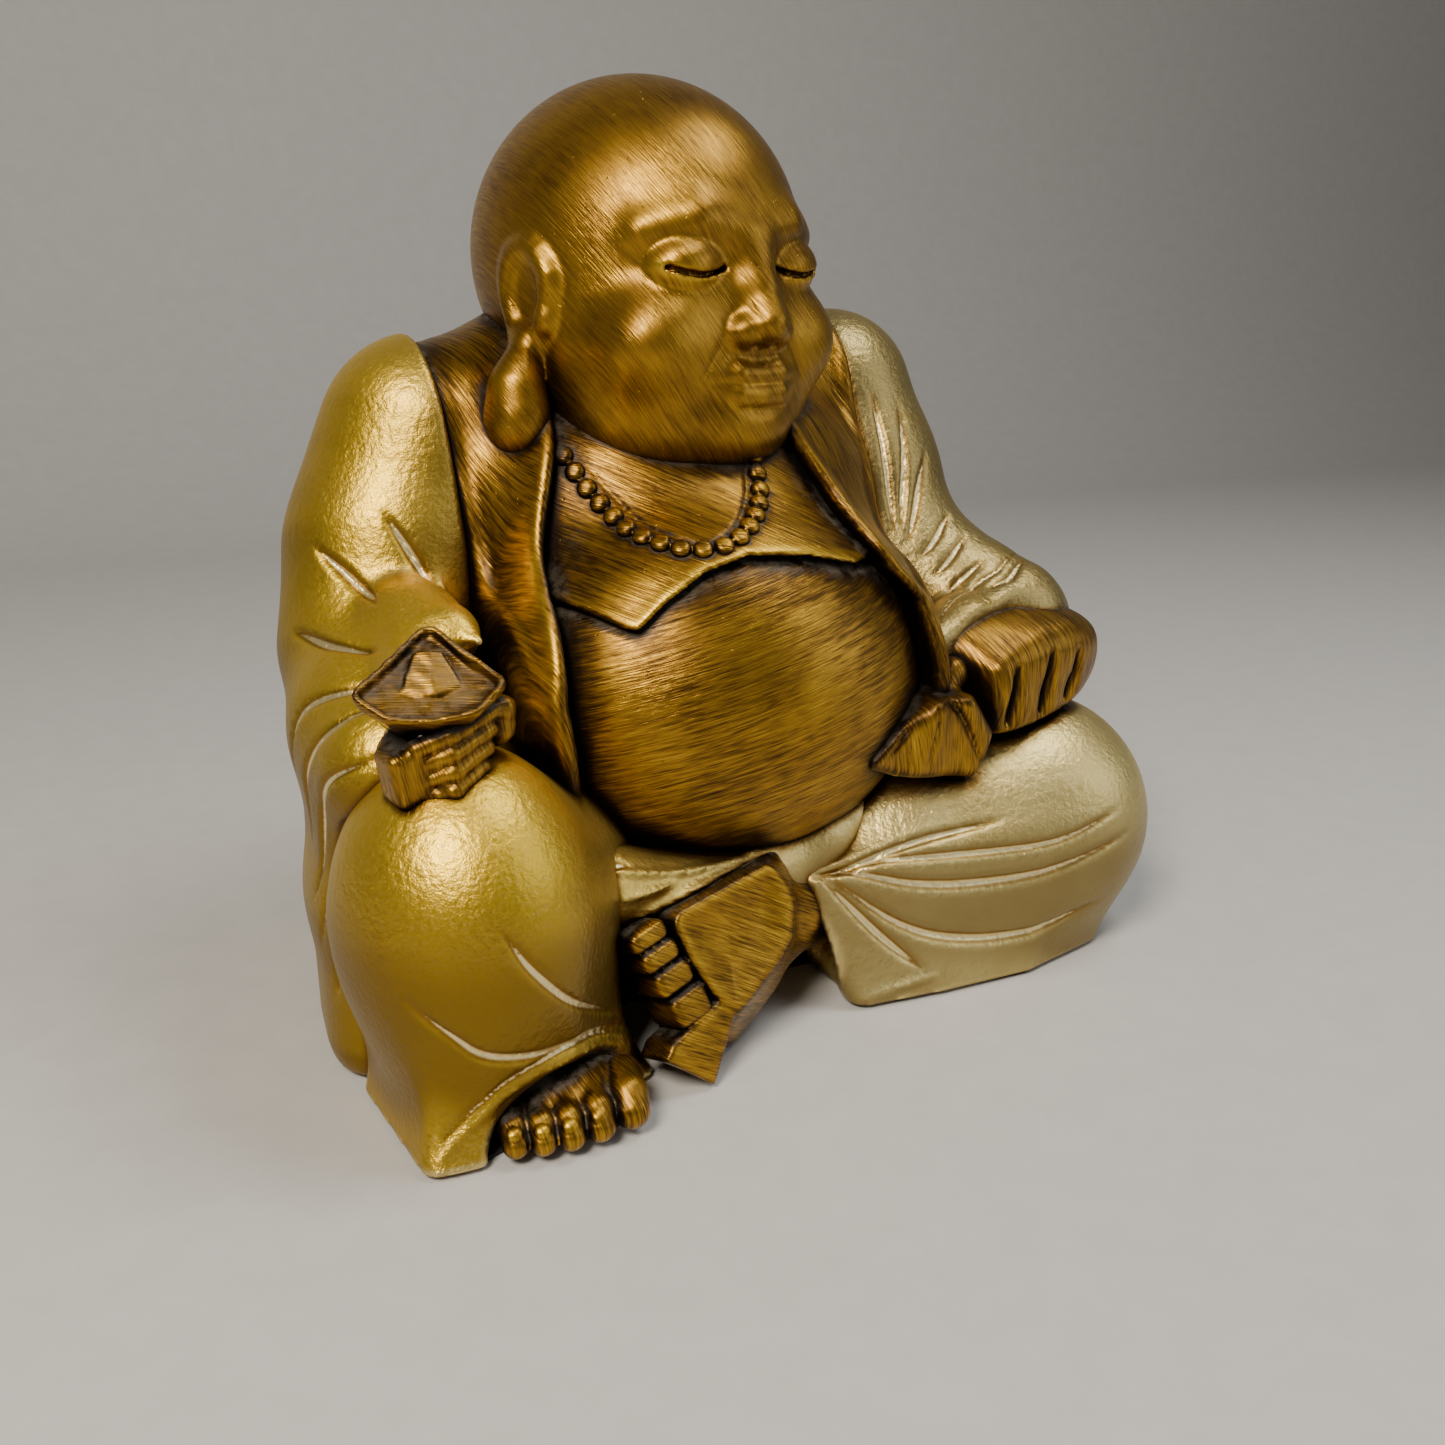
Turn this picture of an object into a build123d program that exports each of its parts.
"""Seated laughing Buddha ornament: resin castings, the back one hollow, dowelled and bonded, on a felt sole.

Row frame, millimetres: +Z up, the figure faces -Y, its own left hand is on +X, and the origin is on the table under
the lap. Flesh and cloth are round-ended rolls, each given by the two ends of its axis and its radius; hems and the
ingot are lofts. The castings meet on flat bonding faces: one plane parts front from back, one on each side parts the
arms from the trunk. Where two round forms press together, one is hollowed to fit, with a thin line of glue between.
"""

import os

from build123d import *

os.makedirs("parts", exist_ok=True)

# ---- driving dimensions -------------------------------------------------------------------------------------------
FELT_T = 1.2  # felt sole, from the table up
BASE_Z = FELT_T  # all castings stand on the felt
GLUE = 0.15  # glue line where one form is hollowed to fit another
SPLIT_Y = 8.0  # bonding plane between the front castings and the back casting
ARM_X = 80.0  # bonding planes between the trunk and the arms, on both sides
SEAT_TOP_Z = 106.0  # under this level the back casting runs the full width of the seat
FOREARM_Z = 60.0  # the left sleeve ends over the knee, above this level

HEAD_YAW = 16.0  # the head looks a little towards its own left
HEAD_X = -6.0
HEAD_Y = 9.0
CRANIUM = ((0, -9, 244), (0, 9, 244), 53)
JAW = ((-7, -18, 208), (7, -18, 208), 38)
EAR = ((50, -9, 219), (49, -5, 234), 7)
EAR_STEM = ((53, -7, 220), (56, -7, 200), 5.5)
LOBE = ((56, -7, 202), (57, -7, 190), 10.5)
TENON_R = 20.0  # round neck tenon of the head, sunk in the torso
TENON_AT = (-4, -16)
TENON_FOOT_Z = 152.0

BELLY = ((-10, -31, 110), (10, -31, 110), 63)
CHEST = ((-22, 2, 156), (22, 2, 156), 47)
SHOULDERS = ((-40, 26, 178), (40, 26, 178), 44)
TORSO_FOOT_Z = 30.0
UNDER_ROBE_T = 4.0
VEST_T = 8.0
RIGHT_TOP_Z = 100.0  # the vest and under robe end here, over the right thigh
LEFT_TOP_Z = 91.0

BACK = [
    ((-42, 34, 58), (-32, 34, 158), 56),
    ((42, 34, 58), (32, 34, 158), 56),
    ((0, 36, 56), (0, 36, 148), 60),
]
SEAT = ((-70, 34, 44), (84, 34, 44), 54)
HEM_SEAT_FOOT = [(-112, 0), (-112, 40), (-92, 66), (-56, 82), (0, 90), (60, 84), (102, 68), (124, 40), (126, 0)]
HEM_SEAT_TOP = [(-122, 0), (-122, 42), (-98, 72), (-60, 87), (0, 95), (64, 88), (108, 73), (134, 42), (136, 0)]
HEM_SEAT_Z = 48.0

KNEE_RIGHT = ((-98, -82, 54), (-98, -82, 69), 42)
THIGH_RIGHT = ((-80, -46, 54), (-78, -8, 54), 44)
THIGH_LEFT = ((64, -40, 44), (120, -40, 44), 44)
HIP_LEFT = ((58, -22, 44), (112, -22, 44), 44)
KNEE_LEFT = ((118, -50, 46), (124, -46, 46), 45)
LAP = ((-34, -34, 36), (34, -34, 36), 36)
HEM_RIGHT_FOOT = [(-126, -120), (-112, -120), (-72, -104), (-42, -90), (-46, -40), (-104, -40), (-126, -66)]
HEM_RIGHT_TOP = [(-124, -108), (-110, -112), (-86, -110), (-64, -94), (-62, -50), (-104, -50), (-122, -70)]
HEM_RIGHT_Z = 58.0
HEM_LEFT_FOOT = [(34, -88), (98, -90), (154, -68), (163, -22), (60, 0), (38, -30)]
HEM_LEFT_TOP = [(38, -68), (98, -82), (148, -66), (156, -26), (70, 0), (42, -24)]
HEM_LEFT_Z = 44.0

ARM_RIGHT = [
    ((-82, 20, 180), (-94, 10, 132), 36),  # shoulder and upper arm
    ((-100, 0, 120), (-110, -50, 103), 28),  # forearm to the cuff
    ((-108, -14, 96), (-106, -16, 20), 28),  # drape outside the knee
    ((-112, -36, 88), (-112, -38, 14), 22),
]
ARM_LEFT = [
    ((76, 22, 190), (86, 4, 132), 32),
    ((92, -2, 124), (120, -34, 116), 22),
]
PALM_RIGHT = ((-124, -86, 112), (-104, -91, 112), 11)
FINGERS_RIGHT = ((-98, -90, 115), (-92, -98, 113), 8)
PALM_LEFT = ((94, -55, 114), (124, -54, 112), 16)

INGOT_AT = (-112, -93)
INGOT_RIM_Z = 134.0
INGOT_H = 16.0
INGOT_RIM = (24.0, 15.0)
INGOT_FOOT = (13.0, 8.0)
INGOT_DOME = ((-115, -93, 135), (-109, -92, 135), 10)
SACK_TOP_Z = 108.0
SACK_FOOT_Z = 80.0

INSTEP_RIGHT = ((-98, -102, 10), (-68, -94, 9), 15)
SOLE_LEFT = (64, 22, 42)  # the left foot lies on its edge, sole to the front
SOLE_LEFT_AT = (-16, -89, 28)
SOLE_LEFT_TURN = (-24, 14, 12)

CAVITY = (116.0, 48.0, 132.0)  # hollow of the back casting, closed by the base board
CAVITY_AT = (0.0, 46.0)
CAVITY_R = 14.0
BOARD = (128.0, 60.0, 6.0)

BEAD_R = 3.2
BEADS = 25
DOWEL_R = 4.0


# ---- helpers ------------------------------------------------------------------------------------------------------
def roll(form, gap=0.0):
    """Round-ended roll of (end, end, radius), the radius larger by gap."""
    start, end, radius = form
    a, b = Vector(*start), Vector(*end)
    r, length = radius + gap, (b - a).length
    half = Polyline((0, -r), (0, length + r))
    half = half + Line((r, 0), (r, length))
    half = half + CenterArc((0, 0), r, -90, 90) + CenterArc((0, length), r, 0, 90)
    solid = revolve(Plane.XZ * make_face(half), Axis.Z)
    return Plane(origin=a, z_dir=b - a) * solid


def other_side(form):
    """The same roll across the head."""
    (x0, y0, z0), (x1, y1, z1), radius = form
    return (-x0, y0, z0), (-x1, y1, z1), radius


def block(low, high):
    """Box between two corners, used as a region to keep."""
    size = [b - a for a, b in zip(low, high)]
    middle = [(a + b) / 2 for a, b in zip(low, high)]
    return Pos(*middle) * Box(*size)


def curtain(outline):
    """An outline of X and Z, carried from the front to the front-to-back bonding plane."""
    depth = 150
    face = make_face(Plane.XZ * Polyline(*outline, close=True))
    return Pos(0, SPLIT_Y, 0) * extrude(face, depth, dir=(0, -1, 0))


def hem(foot, top, top_z, gap=0.0):
    """Cloth between an outline on the base and one with as many corners at top_z."""
    low = Pos(0, 0, BASE_Z) * make_face(Polyline(*foot, close=True))
    high = Pos(0, 0, top_z) * make_face(Polyline(*top, close=True))
    if gap:
        low = offset(low, gap, kind=Kind.INTERSECTION)
        high = offset(high, gap, kind=Kind.INTERSECTION)
    return loft([low.face(), high.face()], ruled=True)


def fused(forms):
    """One solid of several overlapping forms."""
    whole = forms[0]
    for form in forms[1:]:
        whole = whole + form
    return whole


def hollowed(shape, forms):
    """Cuts each form out of a shape in turn and keeps the main solid."""
    for form in forms:
        shape = shape - form
    return max(shape.solids(), key=lambda solid: solid.volume)


def dowel(start, end, radius=DOWEL_R):
    """Round dowel between two points."""
    a, b = Vector(*start), Vector(*end)
    foot = Plane(origin=a, z_dir=b - a)
    return foot * Cylinder(radius, (b - a).length, align=(Align.CENTER, Align.CENTER, Align.MIN))


# Front castings: everything ahead of the bonding plane. The trunk lies between the arm planes.
FRONT = block((-300, -300, BASE_Z), (300, SPLIT_Y, 400))
TRUNK_FRONT = block((-ARM_X, -300, TORSO_FOOT_Z), (ARM_X, SPLIT_Y, 400))

# ---- dowels: name, ends, radius and the castings they join --------------------------------------------------------
DOWELS = {
    "neck_dowel": ((-4, -16, 120), (-4, -16, 186), 5.0, ("torso", "head")),
    "back_dowel_upper": ((0, -8, 128), (0, 18, 128), DOWEL_R, ("torso", "robe_back")),
    "back_dowel_lower": ((0, -8, 66), (0, 18, 66), DOWEL_R, ("torso", "robe_back")),
    "arm_dowel_right": ((-96, 30, 160), (-66, 30, 160), DOWEL_R, ("sleeve_right", "robe_back")),
    "arm_dowel_left": ((66, 30, 160), (96, 30, 160), DOWEL_R, ("sleeve_left", "robe_back")),
    "leg_dowel_right": ((-84, -8, 40), (-84, 24, 40), DOWEL_R, ("trouser_right", "robe_back")),
    "leg_dowel_left": ((90, -8, 40), (90, 24, 40), DOWEL_R, ("trouser_left", "robe_back")),
    "wrist_dowel_right": ((-118, -50, 112), (-116, -84, 114), 2.5, ("sleeve_right", "hand_right")),
    "wrist_dowel_left": ((110, -26, 118), (108, -60, 116), 2.5, ("sleeve_left", "hand_left")),
    "ankle_dowel_right": ((-84, -78, 12), (-84, -106, 10), 2.5, ("trouser_right", "foot_right")),
    "ankle_dowel_left": ((-14, -60, 32), (-16, -86, 30), 2.5, ("lap_fold", "foot_left")),
    "ingot_dowel": ((-112, -93, 112), (-112, -93, 128), 2.5, ("hand_right", "ingot")),
}


def drilled(name, shape):
    """Sinks the dowel holes that belong to one casting."""
    for start, end, radius, joined in DOWELS.values():
        if name in joined:
            shape = shape - dowel(start, end, radius)
    return shape


# ---- head ---------------------------------------------------------------------------------------------------------
def seated_head(forms, gap):
    """Rolls of the head's own frame, set in place on the trunk."""
    return [Pos(HEAD_X, HEAD_Y, 0) * Rot(0, 0, HEAD_YAW) * roll(form, gap) for form in forms]


def skull_forms(gap=0.0):
    """Jaw and cranium."""
    return seated_head([JAW, CRANIUM], gap)


def ear_forms(side, gap=0.0):
    """Ear, stem and long lobe on one side."""
    forms = [EAR, EAR_STEM, LOBE]
    return seated_head([other_side(form) if side < 0 else form for form in forms], gap)


def neck_tenon(gap=0.0):
    """Round tenon under the jaw."""
    low = TENON_FOOT_Z - gap
    tenon = Cylinder(TENON_R + gap, 186 - low, align=(Align.CENTER, Align.CENTER, Align.MIN))
    return Pos(*TENON_AT, low) * tenon


def head_room():
    """Everything of the head that presses into the trunk, with its glue line."""
    return skull_forms(GLUE) + ear_forms(-1, GLUE) + ear_forms(1, GLUE) + [neck_tenon(GLUE)]


def make_head():
    """Skull, ears with long lobes, and the neck tenon in one casting."""
    skull = fused(skull_forms())
    return fused([skull + neck_tenon()] + ear_forms(-1) + ear_forms(1))


# ---- trunk --------------------------------------------------------------------------------------------------------
def make_torso():
    """Belly and chest, flat at the back and under the belly, with the socket for the neck tenon."""
    body = roll(BELLY) + roll(CHEST)
    return hollowed(body & TRUNK_FRONT, head_room())


def robe_shell(inner, outer):
    """Cloth over belly and chest between two thicknesses, ahead of the bonding plane."""
    cloth = (roll(BELLY, outer) + roll(CHEST, outer)) & TRUNK_FRONT
    return hollowed(cloth, [roll(BELLY, inner), roll(CHEST, inner)])


def make_under_robe():
    """Thin wrap across the chest and down both sides, wavy along its lower edge over the belly."""
    edge = [(-56, RIGHT_TOP_Z), (-54, 141), (-42, 135), (-26, 145), (0, 156), (28, 154), (54, 156), (56, LEFT_TOP_Z)]
    outline = [(-ARM_X, RIGHT_TOP_Z)] + edge + [(ARM_X, LEFT_TOP_Z), (ARM_X, 230), (-ARM_X, 230)]
    cloth = robe_shell(GLUE, UNDER_ROBE_T) & curtain(outline)
    return hollowed(cloth, head_room())


def make_vest(side):
    """One front panel of the open vest, from the shoulder to the thigh."""
    foot_z = RIGHT_TOP_Z if side < 0 else LEFT_TOP_Z
    outline = [(58, foot_z), (60, 112), (56, 150), (40, 184), (40, 240), (ARM_X, 240), (ARM_X, foot_z)]
    panel = curtain([(side * x, z) for x, z in outline])
    cloth = fused([roll(BELLY, VEST_T), roll(CHEST, VEST_T), roll(SHOULDERS)])
    inner = UNDER_ROBE_T + GLUE
    under = [roll(BELLY, inner), roll(CHEST, inner)]
    return hollowed(cloth & panel & TRUNK_FRONT, under + head_room())


def make_robe_back():
    """Back, shoulders and seat in one hollow casting, open underneath for the base board."""
    skirt = hem(HEM_SEAT_FOOT, HEM_SEAT_TOP, HEM_SEAT_Z)
    whole = fused([roll(form) for form in BACK] + [roll(SHOULDERS), roll(SEAT), skirt])
    trunk = block((-ARM_X, SPLIT_Y, BASE_Z), (ARM_X, 300, 400))
    seat = block((-300, SPLIT_Y, BASE_Z), (300, 300, SEAT_TOP_Z))
    width, depth, height = CAVITY
    room = Box(width, depth, height, align=(Align.CENTER, Align.CENTER, Align.MIN))
    room = fillet(room.edges().filter_by(Axis.Z) + room.faces().sort_by(Axis.Z)[-1].edges(), CAVITY_R)
    room = Pos(*CAVITY_AT, BASE_Z + BOARD[2] - 0.01) * room
    return hollowed(whole & (trunk + seat), [room, base_board(0.0)] + head_room())


def base_board(gap=GLUE):
    """Closing board let into the underside of the back casting."""
    width, depth, height = BOARD
    board = Box(width - 2 * gap, depth - 2 * gap, height, align=(Align.CENTER, Align.CENTER, Align.MIN))
    board = fillet(board.edges().filter_by(Axis.Z), 6)
    return Pos(*CAVITY_AT, BASE_Z) * board


# ---- legs and lap -------------------------------------------------------------------------------------------------
def trouser_right_forms(gap=0.0):
    """Raised knee, thigh and the hem that spreads to a point on the base."""
    cloth = hem(HEM_RIGHT_FOOT, HEM_RIGHT_TOP, HEM_RIGHT_Z, gap)
    return [roll(KNEE_RIGHT, gap), roll(THIGH_RIGHT, gap), cloth]


def trouser_left_forms(gap=0.0):
    """Folded leg lying on the base, with its hem."""
    cloth = hem(HEM_LEFT_FOOT, HEM_LEFT_TOP, HEM_LEFT_Z, gap)
    return [roll(THIGH_LEFT, gap), roll(KNEE_LEFT, gap), roll(HIP_LEFT, gap), cloth]


def make_trouser_right():
    """Right leg of the trousers, hollowed for the belly and the foot."""
    leg = fused(trouser_right_forms()) & FRONT
    return hollowed(leg, [roll(BELLY, GLUE), left_foot_block(GLUE)] + foot_right_forms(GLUE))


def make_trouser_left():
    """Left leg of the trousers, hollowed for the belly."""
    leg = fused(trouser_left_forms()) & FRONT
    return hollowed(leg, [roll(BELLY, GLUE)])


def make_lap_fold():
    """Gathered waist of the trousers: a roll of cloth between the legs, under the belly."""
    between = block((-60, -300, BASE_Z), (40, SPLIT_Y, 64))
    forms = [roll(BELLY, GLUE)] + trouser_right_forms(GLUE) + trouser_left_forms(GLUE)
    return hollowed(roll(LAP) & between, forms + [left_foot_block(GLUE)])


def foot_right_forms(gap=0.0):
    """Instep and five toes, flat on the base."""
    forms = [roll(INSTEP_RIGHT, gap)]
    for i in range(5):
        x, y = -105 + 10.6 * i, -118 + 2.4 * i
        forms.append(roll(((x, y + 12, 9), (x, y, 8), 5.7 - 0.3 * i), gap))
    return forms


def left_foot_block(gap=0.0):
    """Sole block of the left foot, lying on its edge with the sole to the front."""
    body = Box(*[side + 2 * gap for side in SOLE_LEFT])
    body = fillet(body.edges(), 7 + gap)
    return Pos(*SOLE_LEFT_AT) * Rot(*SOLE_LEFT_TURN) * body


def make_foot_left():
    """Left foot, cut flat where it rests on the base."""
    return left_foot_block() & FRONT


# ---- arms and hands -----------------------------------------------------------------------------------------------
def seat_room():
    """The space that the seat keeps for itself behind the bonding plane."""
    return block((-300, SPLIT_Y, 0), (300, 300, SEAT_TOP_Z))


def make_sleeve_right():
    """Shoulder, forearm to the cuff, and the drape that hangs outside the knee to the base."""
    arm = fused([roll(form) for form in ARM_RIGHT]) & block((-300, -300, BASE_Z), (-ARM_X, 300, 400))
    return hollowed(arm, [seat_room()] + trouser_right_forms(GLUE) + hand_right_forms(GLUE))


def make_sleeve_left():
    """Shoulder and forearm, to the cuff over the left knee."""
    arm = fused([roll(form) for form in ARM_LEFT]) & block((ARM_X, -300, FOREARM_Z), (300, 300, 400))
    return hollowed(arm, [seat_room()] + trouser_left_forms(GLUE)[:3] + hand_left_forms(GLUE))


def hand_right_forms(gap=0.0):
    """Palm and finger pad under the ingot."""
    return [roll(PALM_RIGHT, gap), roll(FINGERS_RIGHT, gap)]


def make_hand_right():
    """Open hand that rests on the knee and carries the ingot."""
    return hollowed(fused(hand_right_forms()), [roll(KNEE_RIGHT, GLUE)] + ingot_forms(GLUE))


def ingot_forms(gap=0.0):
    """Flared boat and the dome in its middle."""
    low_z = INGOT_RIM_Z - INGOT_H - gap
    low = Pos(*INGOT_AT, low_z) * Ellipse(INGOT_FOOT[0] + gap, INGOT_FOOT[1] + gap)
    rim = Pos(*INGOT_AT, INGOT_RIM_Z) * Ellipse(INGOT_RIM[0] + gap, INGOT_RIM[1] + gap)
    return [loft([low, rim]), roll(INGOT_DOME, gap)]


def hand_left_forms(gap=0.0):
    """Back of the hand, then four bent fingers."""
    forms = [roll(PALM_LEFT, gap)]
    for i in range(4):
        x, y = 88 + 14.5 * i, -72 + 4.6 * i
        forms.append(roll(((x, y, 112), (x, y, 99 + i), 6.4), gap))
    return forms


def make_sack_neck():
    """Gathered mouth of the cloth sack, flaring below the fist."""
    top = Pos(84, -80, SACK_TOP_Z) * Ellipse(8, 6)
    foot = Pos(80, -84, SACK_FOOT_Z) * Ellipse(19, 11)
    legs = trouser_left_forms(GLUE)[:3]
    return hollowed(loft([top, foot]), hand_left_forms(GLUE) + legs + [roll(BELLY, GLUE)])


# ---- small parts --------------------------------------------------------------------------------------------------
def clear_of(form, point):
    """How far a point lies off the surface of a roll."""
    start, end, radius = form
    a, b = Vector(*start), Vector(*end)
    along = (point - a).dot(b - a) / (b - a).dot(b - a)
    nearest = a + (b - a) * min(1, max(0, along))
    return (point - nearest).length - radius


def on_robe(x, z):
    """Centre of a bead at a given X and Z, brought from the front until it meets the under robe."""
    lift = UNDER_ROBE_T + BEAD_R + 0.05
    y = -120.0
    while min(clear_of(form, Vector(x, y, z)) for form in (BELLY, CHEST)) > lift:
        y += 0.05
    return x, y - 0.05, z


def make_bead_string():
    """Round beads in a hanging curve, each resting on the under robe."""
    beads = []
    for i in range(BEADS):
        t = -1 + 2 * i / (BEADS - 1)
        x = 1 + 35 * t
        z = 152 + 22 * t**2
        beads.append(Pos(*on_robe(x, z)) * Sphere(BEAD_R))
    return Compound(beads)


def make_felt():
    """Felt sole, a little inside the outline of the castings."""
    outline = [
        (-120, -115), (-110, -115), (-72, -100), (-48, -88), (-44, -46), (38, -46), (44, -84), (98, -86),
        (150, -64), (158, -26), (120, 20), (98, 62), (58, 79), (0, 85), (-54, 77), (-88, 61),
        (-106, 36), (-120, -20),
    ]
    sheet = make_face(Polyline(*outline, close=True))
    sheet = fillet(sheet.vertices(), 4)
    return extrude(sheet, FELT_T)


def make_all():
    """Every casting, drilled, then the dowels."""
    castings = {
        "head": make_head(),
        "torso": make_torso(),
        "under_robe": make_under_robe(),
        "vest_right": make_vest(-1),
        "vest_left": make_vest(1),
        "robe_back": make_robe_back(),
        "trouser_right": make_trouser_right(),
        "trouser_left": make_trouser_left(),
        "lap_fold": make_lap_fold(),
        "foot_right": fused(foot_right_forms()) & FRONT,
        "foot_left": make_foot_left(),
        "sleeve_right": make_sleeve_right(),
        "sleeve_left": make_sleeve_left(),
        "hand_right": make_hand_right(),
        "ingot": fused(ingot_forms()),
        "hand_left": fused(hand_left_forms()),
        "sack_neck": make_sack_neck(),
        "base_board": base_board(),
        "felt_sole": make_felt(),
    }
    nodes = {name: drilled(name, shape) for name, shape in castings.items()}
    nodes["bead_string"] = make_bead_string()
    for name, (start, end, radius, _) in DOWELS.items():
        nodes[name] = dowel(start, end, radius)
    return nodes


if __name__ == "__main__":
    for node, shape in make_all().items():
        export_step(shape, f"parts/{node}.step")
